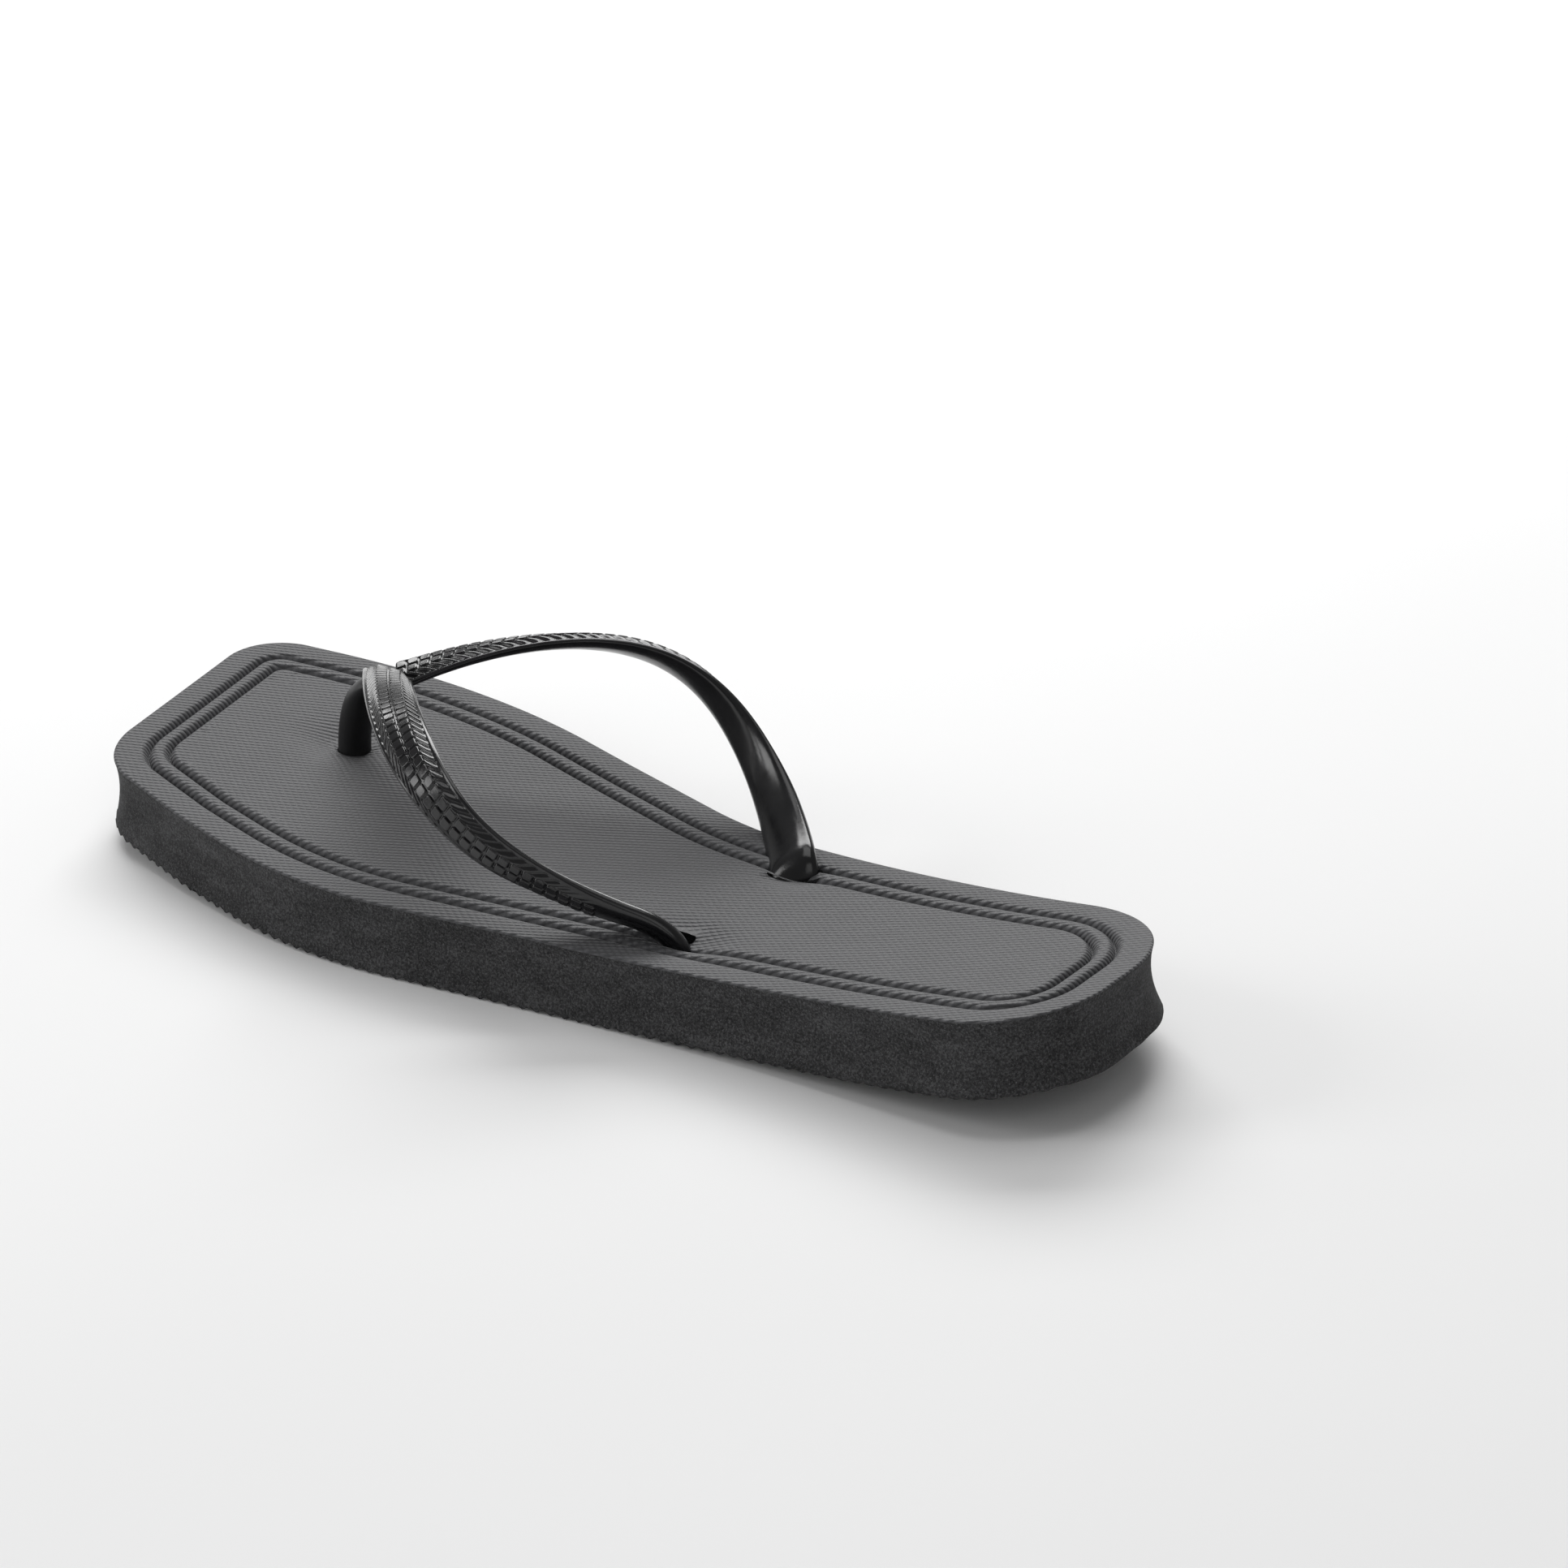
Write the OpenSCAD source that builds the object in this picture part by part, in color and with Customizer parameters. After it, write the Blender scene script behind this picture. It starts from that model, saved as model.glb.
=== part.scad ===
// Square-toed flip flop for the left foot: a cut foam sole and a moulded strap.
// +X points to the toe, +Y to the outer (little toe) side, and Z = 0 is the ground.

/* [Sole] */
// Thickness of the foam slab
sole_t = 15.5; // [13:0.5:20]
// How far the toe end curls up off the ground
toe_lift = 5; // [0:0.5:7]
// How far the heel end curls up off the ground
heel_lift = 10; // [0:0.5:11]
// Depth of the soft hollow pressed into the footbed around each strap hole
hollow_depth = 2.4; // [1:0.2:3]
// Width of each groove that runs around the footbed
groove_w = 1.6; // [1.2:0.2:2]
// Depth of those grooves
groove_depth = 1.2; // [0.6:0.2:1.6]

/* [Strap] */
// Width of each strap arm
arm_w = 10.4; // [9:0.2:11]
// Thickness of each strap arm
arm_t = 3.6; // [3:0.2:4]
// Diameter of the post between the toes
post_d = 7; // [6:0.2:8]
// Gap between the bending length of an arm and the fixed lengths at its ends
flex_gap = 1.4; // [1.2:0.1:2]

/* [Plugs] */
// Diameter of the plug under the sole at the end of each strap stem
plug_d = 17; // [15:0.5:19]
// Thickness of that plug
plug_t = 3; // [2.5:0.5:3.5]
// Diameter of the stem that passes through the sole behind each arm
stem_d = 5; // [4:0.2:5.4]

/* [Hidden] */

sole_l = 260;
cut_room = 1;

// Corners of the sole outline, each with its rounding radius, anticlockwise from the big toe.
SOLE_CORNERS = [
    [[133, -31], 13],
    [[115, 32], 22],
    [[81, 39.5], 60],
    [[41, 46], 130],
    [[-47, 28], 600],
    [[-133, 20], 21],
    [[-125, -37], 28],
    [[-16, -29], 100],
    [[78, -48], 150]
];
corner_steps = 7;

// The sole lies flat between these two places and curls up beyond them.
flat_front_x = 20;
flat_rear_x = -20;
curl_steps = 14;

// Distance in from the outline to the middle of each footbed groove.
GROOVE_INSETS = [7.2, 11.6];
groove_corner_steps = 4;

// Strap holes: where the stems pass through the sole.
toe_hole = [80, -9];
outer_hole = [-40, 16];
inner_hole = [-37, -18];
slot_l = 11;
slot_w = stem_d;
outer_slot_turn = 10;
inner_slot_turn = 30;
hollow_r = 13;
recess_play = 0.4;
recess_room = 1;
plug_lift = 0.6;
hollow_point_r = 0.01;

// Curved middle line of each arm, from the knot over the foot to its hole, above the footbed rim.
OUTER_ROUTE = [[67, -8, 20], [59, -2, 25], [6, 53, 51], [2, 37, 14], [0, 38, 14], [-39, 16, 1]];
INNER_ROUTE = [[65, -9, 20], [39, -33, 32], [11, -42, 33], [3, -41, 26], [-7, -47, 4], [-37, -18, 0]];
// Direction across each arm, which twists along the route.
OUTER_ACROSS = [[0.7, 0.6, 0.35], [0.5, 1.2, 0.1], [0.6, -0.2, -1.8], [0.55, -0.6, -0.4]];
INNER_ACROSS = [[0.5, -0.5, 0.15], [0.3, -1.55, -0.65], [0.55, 0.3, -1.3], [0.65, 0.5, -0.45]];
POST_ROUTE = [[80, -9, -2], [79, -9, 8], [76, -9.5, 14], [70, -9.5, 19]];
knot_tip = [74.5, -10, 17.5];

// The fixed knot ends and the fixed tail begins at these fractions of the route.
knot_end = 0.1;
outer_tail_start = 0.87;
inner_tail_start = 0.86;
route_l = 130;
section_points = 14;
ring_pitch = 0.025;

function sum(list, i = 0) = i == len(list) - 1 ? list[i] : list[i] + sum(list, i + 1);
function choose(n, k) = k == 0 ? 1 : choose(n, k - 1) * (n - k + 1) / k;
function bezier(points, t) =
    let (n = len(points) - 1)
    sum([for (k = [0:n]) choose(n, k) * pow(1 - t, n - k) * pow(t, k) * points[k]]);
function unit(v) = v / norm(v);
function cross_z(a, b) = a[0] * b[1] - a[1] * b[0];

// Rise of the curled sole at x: nothing over the flat middle, an arc beyond each end of it.
function arc_rise(run, lift, reach) =
    let (r = (reach * reach + lift * lift) / (2 * max(lift, 0.001)))
    r - sqrt(r * r - run * run);
function curl(x) =
    x > flat_front_x ? arc_rise(x - flat_front_x, toe_lift, sole_l / 2 - flat_front_x)
    : x < flat_rear_x ? arc_rise(flat_rear_x - x, heel_lift, sole_l / 2 + flat_rear_x)
    : 0;

// Outline of the sole moved in by an inset, with its corners rounded by true arcs.
function corner_in(i, inset) =
    let (
        n = len(SOLE_CORNERS),
        p = SOLE_CORNERS[i][0],
        before = unit(p - SOLE_CORNERS[(i + n - 1) % n][0]),
        after = unit(SOLE_CORNERS[(i + 1) % n][0] - p),
        inward = unit([-before[1] - after[1], before[0] + after[0]])
    )
    p + inward * inset / (inward * [-before[1], before[0]]);
function corner_radius(i, inset) =
    let (
        n = len(SOLE_CORNERS),
        p = SOLE_CORNERS[i][0],
        turn = cross_z(p - SOLE_CORNERS[(i + n - 1) % n][0], SOLE_CORNERS[(i + 1) % n][0] - p)
    )
    max(2, SOLE_CORNERS[i][1] - sign(turn) * inset);
function corner_arc(before, p, after, r, steps) =
    let (
        u = unit(before - p),
        v = unit(after - p),
        half = acos(u * v) / 2,
        centre = p + unit(u + v) * r / sin(half),
        start = p + u * r / tan(half) - centre,
        end = p + v * r / tan(half) - centre,
        turn = atan2(cross_z(start, end), start * end)
    )
    [for (k = [0:steps])
        let (a = turn * k / steps)
        centre + [start[0] * cos(a) - start[1] * sin(a), start[0] * sin(a) + start[1] * cos(a)]];
function outline(inset, steps) =
    let (n = len(SOLE_CORNERS), corners = [for (i = [0:n - 1]) corner_in(i, inset)])
    [for (i = [0:n - 1])
        each corner_arc(corners[(i + n - 1) % n], corners[i], corners[(i + 1) % n],
                        corner_radius(i, inset), steps)];

// Stations along the sole where its side view bends.
CURL_STATIONS = concat(
    [for (k = [0:curl_steps]) -sole_l / 2 - cut_room + (sole_l / 2 + cut_room + flat_rear_x) * k / curl_steps],
    [for (k = [0:curl_steps]) flat_front_x + (sole_l / 2 + cut_room - flat_front_x) * k / curl_steps]
);
function curled(x) = curl(max(-sole_l / 2, min(sole_l / 2, x)));

// A layer that follows the curl of the sole, from a low to a high height above its underside.
module curled_layer(low, high) {
    reach = 60;
    top = [for (x = CURL_STATIONS) [x, high + curled(x)]];
    bottom = [for (k = [len(CURL_STATIONS) - 1:-1:0]) [CURL_STATIONS[k], low + curled(CURL_STATIONS[k])]];
    translate([0, reach, 0])
        rotate([90, 0, 0])
            linear_extrude(2 * reach)
                polygon(concat(top, bottom));
}

module groove(inset) {
    intersection() {
        linear_extrude(3 * sole_t)
            difference() {
                polygon(outline(inset - groove_w / 2, groove_corner_steps));
                polygon(outline(inset + groove_w / 2, groove_corner_steps));
            }
        curled_layer(sole_t - groove_depth, sole_t + cut_room);
    }
}

// Shallow funnel that the strap presses into the footbed.
module hollow(at) {
    top = sole_t + curl(at[0]);
    slope = hollow_r / hollow_depth;
    translate([at[0], at[1], top - hollow_depth])
        cylinder(h = hollow_depth + cut_room, r1 = hollow_point_r, r2 = hollow_r + slope * cut_room, $fn = 48);
}

module recess(at) {
    translate([at[0], at[1], curl(at[0]) - cut_room])
        cylinder(h = cut_room + plug_t + recess_room, d = plug_d + 2 * recess_play, $fn = 48);
}

module slot(at, turn) {
    translate([at[0], at[1], -cut_room])
        rotate([0, 0, turn])
            union() {
                translate([-(slot_l - slot_w) / 2, 0, 0])
                    cylinder(h = 2 * sole_t + curl(at[0]), d = slot_w, $fn = 32);
                translate([(slot_l - slot_w) / 2, 0, 0])
                    cylinder(h = 2 * sole_t + curl(at[0]), d = slot_w, $fn = 32);
                translate([-(slot_l - slot_w) / 2, -slot_w / 2, 0])
                    cube([slot_l - slot_w, slot_w, 2 * sole_t + curl(at[0])]);
            }
}

// One-piece foam slab: curled, grooved on top and recessed below for the plugs.
module sole() {
    color([0.13, 0.13, 0.14])
        difference() {
            intersection() {
                linear_extrude(3 * sole_t) polygon(outline(0, corner_steps));
                curled_layer(0, sole_t);
            }
            for (inset = GROOVE_INSETS) groove(inset);
            for (at = [toe_hole, outer_hole, inner_hole]) {
                hollow(at);
                recess(at);
            }
            translate([toe_hole[0], toe_hole[1], -cut_room])
                cylinder(h = 3 * sole_t, d = post_d, $fn = 48);
            slot(outer_hole, outer_slot_turn);
            slot(inner_hole, inner_slot_turn);
        }
}

// One ring of a strap arm: a flattened round as wide as the arm.
function arm_ring(route, across, t) =
    let (
        c = bezier(route, t) + [0, 0, sole_t],
        along = unit(bezier(route, min(1, t + 0.01)) - bezier(route, max(0, t - 0.01))),
        raw = bezier(across, t),
        side = unit(raw - (raw * along) * along),
        up = cross(along, side),
        round_power = 0.75
    )
    [for (k = [0:section_points - 1])
        let (a = 360 * k / section_points)
        c + side * arm_w / 2 * sign(cos(a)) * pow(abs(cos(a)), round_power)
          + up * arm_t / 2 * sign(sin(a)) * pow(abs(sin(a)), round_power)];

function post_ring(t) =
    let (
        c = bezier(POST_ROUTE, t) + [0, 0, sole_t],
        along = unit(bezier(POST_ROUTE, min(1, t + 0.01)) - bezier(POST_ROUTE, max(0, t - 0.01))),
        side = unit([0, 1, 0] - along[1] * along),
        up = cross(along, side)
    )
    [for (k = [0:section_points - 1])
        let (a = 360 * k / section_points)
        c + post_d / 2 * (side * cos(a) + up * sin(a))];

// A closed skin through a list of rings.
module skin(rings) {
    n = len(rings[0]);
    last = (len(rings) - 1) * n;
    polyhedron(
        points = [for (ring = rings) each ring],
        faces = concat(
            [[for (k = [0:n - 1]) k]],
            [[for (k = [n - 1:-1:0]) last + k]],
            [for (r = [0:len(rings) - 2], k = [0:n - 1])
                let (a = r * n + k, b = r * n + (k + 1) % n)
                each [[a + n, b + n, b], [a + n, b, a]]]
        ),
        convexity = 6
    );
}

module arm_length(route, across, t_from, t_to) {
    steps = ceil((t_to - t_from) / ring_pitch);
    skin([for (k = [0:steps]) arm_ring(route, across, t_from + (t_to - t_from) * k / steps)]);
}

module bending_arm(route, across, tail_start) {
    gap = flex_gap / route_l;
    color([0.05, 0.05, 0.055]) arm_length(route, across, knot_end + gap, tail_start - gap);
}

// Stem and round plug that hold one strap end under the sole.
module plug(at, d, top) {
    low = curl(at[0]) + plug_lift;
    translate([at[0], at[1], low]) {
        cylinder(h = plug_t, d = plug_d, $fn = 48);
        cylinder(h = top - low, d = d, $fn = 48);
    }
}

module anchor(route, across, tail_start, at) {
    color([0.05, 0.05, 0.055])
        union() {
            arm_length(route, across, tail_start, 1);
            plug(at, stem_d, sole_t + curl(at[0]));
        }
}

// Where the two arms meet: their ends blended into one low cap over the post.
module knot() {
    hull() {
        arm_length(OUTER_ROUTE, OUTER_ACROSS, 0, 2 * ring_pitch);
        arm_length(INNER_ROUTE, INNER_ACROSS, 0, 2 * ring_pitch);
        translate([knot_tip[0], knot_tip[1], knot_tip[2] + sole_t])
            sphere(d = arm_t, $fn = 24);
    }
}

// Post between the toes, with its plug below and the knot of the strap on top.
module toe_post() {
    post_rings = 12;
    color([0.05, 0.05, 0.055])
        union() {
            plug(toe_hole, post_d, sole_t + curl(toe_hole[0]) - hollow_depth);
            skin([for (k = [0:post_rings]) post_ring(k / post_rings)]);
            knot();
            arm_length(OUTER_ROUTE, OUTER_ACROSS, 0, knot_end);
            arm_length(INNER_ROUTE, INNER_ACROSS, 0, knot_end);
        }
}

module outer_arm() {
    bending_arm(OUTER_ROUTE, OUTER_ACROSS, outer_tail_start);
}

module inner_arm() {
    bending_arm(INNER_ROUTE, INNER_ACROSS, inner_tail_start);
}

module outer_anchor() {
    anchor(OUTER_ROUTE, OUTER_ACROSS, outer_tail_start, outer_hole);
}

module inner_anchor() {
    anchor(INNER_ROUTE, INNER_ACROSS, inner_tail_start, inner_hole);
}

sole();
toe_post();
outer_arm();
inner_arm();
outer_anchor();
inner_anchor();
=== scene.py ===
import math
import bpy
import numpy as np
from mathutils import Matrix, Vector
from mathutils.geometry import delaunay_2d_cdt


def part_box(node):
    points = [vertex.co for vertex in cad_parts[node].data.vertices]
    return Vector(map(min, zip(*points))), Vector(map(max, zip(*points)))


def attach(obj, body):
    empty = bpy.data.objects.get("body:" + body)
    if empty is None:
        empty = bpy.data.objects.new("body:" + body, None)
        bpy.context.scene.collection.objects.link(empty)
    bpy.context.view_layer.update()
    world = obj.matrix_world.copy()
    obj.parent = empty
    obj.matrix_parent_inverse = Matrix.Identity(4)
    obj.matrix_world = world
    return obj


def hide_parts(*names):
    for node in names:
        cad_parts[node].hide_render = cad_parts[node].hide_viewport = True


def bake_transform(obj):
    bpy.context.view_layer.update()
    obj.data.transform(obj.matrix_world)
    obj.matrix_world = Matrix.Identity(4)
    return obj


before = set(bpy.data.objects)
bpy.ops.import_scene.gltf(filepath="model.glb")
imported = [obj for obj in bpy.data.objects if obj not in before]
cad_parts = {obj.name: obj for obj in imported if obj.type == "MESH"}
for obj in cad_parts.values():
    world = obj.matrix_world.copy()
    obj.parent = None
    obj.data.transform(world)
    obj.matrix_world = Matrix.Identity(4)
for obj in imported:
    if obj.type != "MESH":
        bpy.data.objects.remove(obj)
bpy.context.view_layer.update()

MM = 0.001
FIXED_BODY = "sole_and_fixed_strap"

# The shoe's driving dimensions in millimetres, the same as the CAD model's. Each corner of the
# sole is ((x, y), radius), and each route runs from the knot to the hole, z above the footbed.
SOLE_LOW, SOLE_HIGH = (np.array(corner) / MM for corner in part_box("sole"))
SOLE_HALF = (SOLE_HIGH[0] - SOLE_LOW[0]) / 2
SOLE_T = 15.5
TOE_LIFT = 5.0
HEEL_LIFT = 10.0
FLAT_HALF = 20.0
SOLE_CORNERS = [
    ((133, -31), 13),
    ((115, 32), 22),
    ((81, 39.5), 60),
    ((41, 46), 130),
    ((-47, 28), 600),
    ((-133, 20), 21),
    ((-125, -37), 28),
    ((-16, -29), 100),
    ((78, -48), 150),
]
TOE_HOLE = (80.0, -9.0)
OUTER_HOLE = (-40.0, 16.0)
INNER_HOLE = (-37.0, -18.0)
HOLES = (TOE_HOLE, OUTER_HOLE, INNER_HOLE)
POST_R = 3.5
PLUG_R = 8.5
PLUG_T = 3.0
PLUG_LIFT = 0.6
RECESS_R = 8.9
RECESS_DEPTH = 4.0
ARM_HALF_W = 5.2
ARM_HALF_T = 1.8
OUTER_ROUTE = [(67, -8, 20), (59, -2, 25), (6, 53, 51), (2, 37, 14), (0, 38, 14), (-39, 16, 1)]
INNER_ROUTE = [(65, -9, 20), (39, -33, 32), (11, -42, 33), (3, -41, 26), (-7, -47, 4), (-37, -18, 0)]
OUTER_ACROSS = [(0.7, 0.6, 0.35), (0.5, 1.2, 0.1), (0.6, -0.2, -1.8), (0.55, -0.6, -0.4)]
INNER_ACROSS = [(0.5, -0.5, 0.15), (0.3, -1.55, -0.65), (0.55, 0.3, -1.3), (0.65, 0.5, -0.45)]


# ---------------------------------------------------------------- helpers
def smooth(low, high, x):
    """0 below low, 1 above high, smooth between them."""
    t = np.clip((np.asarray(x, float) - low) / (high - low), 0, 1)
    return t * t * (3 - 2 * t)


def unit(v):
    """The vector, or each row of vectors, at length 1."""
    v = np.asarray(v, float)
    return v / np.linalg.norm(v, axis=-1, keepdims=True)


def bezier(points, t):
    """Points at t along the curve that the control points draw."""
    points = np.array(points, float)
    t = np.atleast_1d(np.asarray(t, float))
    n = len(points) - 1
    weights = [math.comb(n, k) * (1 - t) ** (n - k) * t ** k for k in range(n + 1)]
    return sum(w[:, None] * p for w, p in zip(weights, points))


def curl(x):
    """Rise of the curled sole at x: flat in the middle, an arc beyond each end of it."""
    x = np.asarray(x, float)
    reach = SOLE_HALF - FLAT_HALF
    run = np.clip(np.abs(x) - FLAT_HALF, 0, reach)
    lift = np.where(x > 0, TOE_LIFT, HEEL_LIFT)
    r = (reach ** 2 + lift ** 2) / (2 * lift)
    return r - np.sqrt(r ** 2 - run ** 2)


def across(direction, v):
    """The part of each row of v that is square to the direction, at length 1."""
    return unit(v - (v * direction).sum(-1)[:, None] * direction)


def heading(points, t, step):
    """Direction of a curve at each t."""
    return unit(bezier(points, np.minimum(1, t + step)) - bezier(points, np.maximum(0, t - step)))


def mesh_object(name, points, faces, material_of_face, materials):
    """A smooth-shaded object from points in millimetres."""
    mesh = bpy.data.meshes.new(name)
    mesh.from_pydata((np.asarray(points) * MM).tolist(), [], [list(f) for f in faces])
    for material in materials:
        mesh.materials.append(material)
    mesh.polygons.foreach_set("material_index", np.asarray(material_of_face, dtype=np.int32))
    mesh.polygons.foreach_set("use_smooth", np.ones(len(mesh.polygons), dtype=bool))
    mesh.update()
    obj = bpy.data.objects.new(name, mesh)
    bpy.context.scene.collection.objects.link(obj)
    return obj


class Skin:
    """Gathers the faces of one piece; points that coincide are shared."""

    DIGITS = 4

    def __init__(self):
        self.points = []
        self.index = {}
        self.faces = []
        self.kinds = []

    def at(self, p):
        key = tuple(round(float(c), self.DIGITS) for c in p)
        if key not in self.index:
            self.index[key] = len(self.points)
            self.points.append(key)
        return self.index[key]

    def add_face(self, ids, kind):
        """One face, unless its corners coincide and leave fewer than three."""
        ids = list(dict.fromkeys(ids))
        if len(ids) > 2:
            self.faces.append(ids)
            self.kinds.append(kind)

    def face(self, corners, kind=0):
        self.add_face([self.at(p) for p in corners], kind)

    def strip(self, rings, kind=0, flip=False):
        """Quads between neighbouring closed rings of the same number of points."""
        ids = [[self.at(p) for p in ring] for ring in rings]
        count = len(ids[0])
        for low, high in zip(ids[:-1], ids[1:]):
            for k in range(count):
                n = (k + 1) % count
                quad = [low[k], low[n], high[n], high[k]]
                self.add_face(quad[::-1] if flip else quad, kind)

    def cap(self, ring, kind=0, flip=False):
        """A fan from the ring's centre."""
        centre = np.mean(ring, axis=0)
        count = len(ring)
        for k in range(count):
            tri = [ring[k], ring[(k + 1) % count], centre]
            self.face(tri[::-1] if flip else tri, kind)

    def build(self, name, materials):
        return mesh_object(name, self.points, self.faces, self.kinds, materials)


# ---------------------------------------------------------------- materials
WEAVE_LENGTH = 2.4
WEAVE_WIDTH = 1.47
WEAVE_POWER = 1.4
# Footbed base colours: the dark end is painted shade in the weave's grooves plus darker random patches,
# the light end the weave's tops plus lighter patches.
WEAVE_GROOVE_SHADE_AND_DARK_PATCH = (0.031, 0.031, 0.0335)
WEAVE_TOP_AND_LIGHT_PATCH = (0.071, 0.071, 0.0765)
CELL_DARK = (0.007, 0.007, 0.0073)
CELL_MIDDLE = (0.031, 0.031, 0.032)
CELL_LIGHT = (0.078, 0.078, 0.080)
CELL_SPECK = (0.15, 0.15, 0.155)
STRAP_DARK = (0.0055, 0.0055, 0.0062)
STRAP_LIGHT = (0.0095, 0.0095, 0.0105)
SHINE_SPREAD = 0.06


def node_material(name):
    """A new material, its node tree and its shader."""
    material = bpy.data.materials.new(name)
    material.use_nodes = True
    tree = material.node_tree
    shader = tree.nodes["Principled BSDF"]
    return material, tree, shader


def add(tree, kind, **values):
    """A new node with its sockets or settings given by name."""
    node = tree.nodes.new(kind)
    for key, value in values.items():
        if key in node.inputs:
            node.inputs[key].default_value = value
        else:
            setattr(node, key, value)
    return node


def math_node(tree, operation, a, b=None):
    """One step of arithmetic on one or two values, each a number or a socket."""
    node = add(tree, "ShaderNodeMath", operation=operation)
    for socket, value in zip(node.inputs, (a, b)):
        if value is None:
            continue
        if isinstance(value, (int, float)):
            socket.default_value = value
        else:
            tree.links.new(value, socket)
    return node.outputs[0]


def position_mm(tree):
    """Object coordinates in millimetres."""
    coordinates = add(tree, "ShaderNodeTexCoord")
    scale = add(tree, "ShaderNodeVectorMath", operation="SCALE", Scale=1 / MM)
    tree.links.new(coordinates.outputs["Object"], scale.inputs[0])
    return scale.outputs[0]


def noise(tree, position, size_mm, detail=2.0, roughness=0.5, stretch=(1, 1, 1)):
    """Noise whose lumps are about size_mm across, longer along an axis with a small stretch."""
    mapping = add(tree, "ShaderNodeMapping")
    mapping.inputs["Scale"].default_value = [s / size_mm for s in stretch]
    tree.links.new(position, mapping.inputs["Vector"])
    texture = add(tree, "ShaderNodeTexNoise", Scale=1.0, Detail=detail, Roughness=roughness)
    tree.links.new(mapping.outputs[0], texture.inputs["Vector"])
    return texture.outputs["Fac"]


def colour_ramp(tree, fac, stops):
    """Colours between stops, each a place from 0 to 1 and a colour."""
    ramp = add(tree, "ShaderNodeValToRGB")
    elements = ramp.color_ramp.elements
    while len(elements) < len(stops):
        elements.new(0.5)
    for element, (place, colour) in zip(elements, stops):
        element.position = place
        element.color = (*colour, 1)
    tree.links.new(fac, ramp.inputs["Fac"])
    return ramp.outputs["Color"]


def spread(tree, fac, from_low, from_high, low, high):
    """A value's range from_low to from_high stretched to low to high."""
    node = add(tree, "ShaderNodeMapRange")
    ends = {"From Min": from_low, "From Max": from_high, "To Min": low, "To Max": high}
    for key, value in ends.items():
        node.inputs[key].default_value = value
    tree.links.new(fac, node.inputs["Value"])
    return node.outputs[0]


def bump(tree, height, distance_mm, strength, below=None):
    """A relief from a height, laid over the one below it."""
    node = add(tree, "ShaderNodeBump", Strength=strength, Distance=distance_mm * MM)
    tree.links.new(height, node.inputs["Height"])
    if below is not None:
        tree.links.new(below, node.inputs["Normal"])
    return node.outputs[0]


def footbed_material():
    """Foam pressed with a fine woven pattern of long diamonds, its grooves darkened with painted shade.
    """
    material, tree, shader = node_material("footbed_foam")
    position = position_mm(tree)
    wander = noise(tree, position, 6.0, detail=1.0)
    xyz = add(tree, "ShaderNodeSeparateXYZ")
    tree.links.new(position, xyz.inputs[0])
    drift = math_node(tree, "MULTIPLY", wander, 0.25)
    x = math_node(tree, "ADD", math_node(tree, "DIVIDE", xyz.outputs["X"], WEAVE_LENGTH), drift)
    y = math_node(tree, "DIVIDE", xyz.outputs["Y"], WEAVE_WIDTH)
    threads = []
    for operation, least in (("ADD", 0.5), ("SUBTRACT", 0.0)):
        turns = math_node(tree, "MULTIPLY", math_node(tree, operation, x, y), math.pi)
        wave = math_node(tree, "ABSOLUTE", math_node(tree, "COSINE", turns))
        threads.append(spread(tree, math_node(tree, "POWER", wave, WEAVE_POWER), 0.0, 1.0, least, 1.0))
    weave = math_node(tree, "MULTIPLY", *threads)
    fine = noise(tree, position, 0.25, detail=3.0)
    patches = noise(tree, position, 9.0, detail=3.0)
    # Painted shade: the weave's low grooves are darkened in the base colour, mixed with random darker
    # and lighter patches.
    shade = math_node(tree, "ADD", math_node(tree, "MULTIPLY", weave, 0.7),
                      math_node(tree, "MULTIPLY", patches, 0.3))
    colour = colour_ramp(tree, shade, [(0.1, WEAVE_GROOVE_SHADE_AND_DARK_PATCH), (0.85, WEAVE_TOP_AND_LIGHT_PATCH)])
    tree.links.new(colour, shader.inputs["Base Color"])
    tree.links.new(spread(tree, fine, 0.3, 0.7, 0.52, 0.68), shader.inputs["Roughness"])
    grain = bump(tree, fine, 0.06, 0.5)
    tree.links.new(bump(tree, weave, 0.24, 1.0, grain), shader.inputs["Normal"])
    shader.inputs["Specular IOR Level"].default_value = 0.45
    shader.inputs["Sheen Weight"].default_value = 0.15
    shader.inputs["Sheen Roughness"].default_value = 0.4
    return material


def cut_foam_material():
    """The sawn side of the foam slab: fine open cells with faint marks along the cut."""
    material, tree, shader = node_material("cut_foam")
    position = position_mm(tree)
    cells = noise(tree, position, 0.5, detail=3.0, roughness=0.7)
    specks = noise(tree, position, 0.3, roughness=0.8)
    marks = noise(tree, position, 7.0, detail=3.0, roughness=0.6, stretch=(0.5, 0.5, 1.4))
    shade = math_node(tree, "ADD", math_node(tree, "MULTIPLY", cells, 0.75),
                      math_node(tree, "MULTIPLY", marks, 0.25))
    base = colour_ramp(tree, shade, [(0.38, CELL_DARK), (0.5, CELL_MIDDLE), (0.62, CELL_LIGHT)])
    mix = add(tree, "ShaderNodeMix", data_type="RGBA")
    tree.links.new(spread(tree, specks, 0.58, 0.72, 0.0, 0.8), mix.inputs["Factor"])
    tree.links.new(base, mix.inputs["A"])
    mix.inputs["B"].default_value = (*CELL_SPECK, 1)
    tree.links.new(mix.outputs["Result"], shader.inputs["Base Color"])
    tree.links.new(spread(tree, cells, 0.3, 0.7, 0.78, 0.95), shader.inputs["Roughness"])
    coarse = bump(tree, marks, 0.3, 0.35)
    tree.links.new(bump(tree, cells, 0.22, 0.9, coarse), shader.inputs["Normal"])
    shader.inputs["Specular IOR Level"].default_value = 0.3
    return material


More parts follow.
